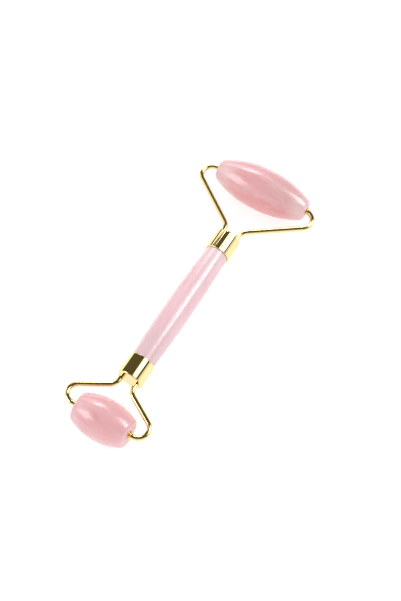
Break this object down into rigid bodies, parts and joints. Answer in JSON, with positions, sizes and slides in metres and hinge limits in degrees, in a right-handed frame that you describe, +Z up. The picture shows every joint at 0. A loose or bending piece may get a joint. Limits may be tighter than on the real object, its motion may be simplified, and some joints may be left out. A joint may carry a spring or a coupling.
{
  "type": "face roller",
  "caption": "Double-ended stone face roller: a rounded handle between ferrules, with a wire yoke and a turning barrel stone at each end.",
  "frame": {"origin": "on the surface that the large roller rests on, under the middle of the tool's overall length", "axes": "+X along the roller axles, +Y along the handle towards the large roller, +Z up, square to the plane of the two wire yokes"},
  "size_m": [0.06, 0.1546, 0.02],
  "materials": {
    "handle_stone": "polished rose quartz, pale and slightly translucent",
    "roller_stone": "polished rose quartz, deeper pink",
    "ferrule_metal": "polished pale gold plate",
    "wire_metal": "polished pale gold plate",
    "bush_metal": "turned brass",
    "adhesive": "set epoxy resin, hidden"
  },
  "bodies": {
    "frame": {"handle_stone": "handle_stone", "large_end_ferrule": "ferrule_metal", "small_end_ferrule": "ferrule_metal", "large_yoke_wire": "wire_metal", "small_yoke_wire": "wire_metal", "large_end_adhesive": "adhesive", "small_end_adhesive": "adhesive"},
    "large_roller": {"large_roller_stone": "roller_stone", "large_bush_left": "bush_metal", "large_bush_right": "bush_metal"},
    "small_roller": {"small_roller_stone": "roller_stone", "small_bush_left": "bush_metal", "small_bush_right": "bush_metal"}
  },
  "joints": [
    {"name": "large_roller_spin", "type": "hinge", "parent": "frame", "child": "large_roller", "pos_m": [0, 0.06728, 0.01], "axis": [1, 0, 0], "continuous": true},
    {"name": "small_roller_spin", "type": "hinge", "parent": "frame", "child": "small_roller", "pos_m": [0, -0.06788, 0.01], "axis": [1, 0, 0], "continuous": true}
  ]
}
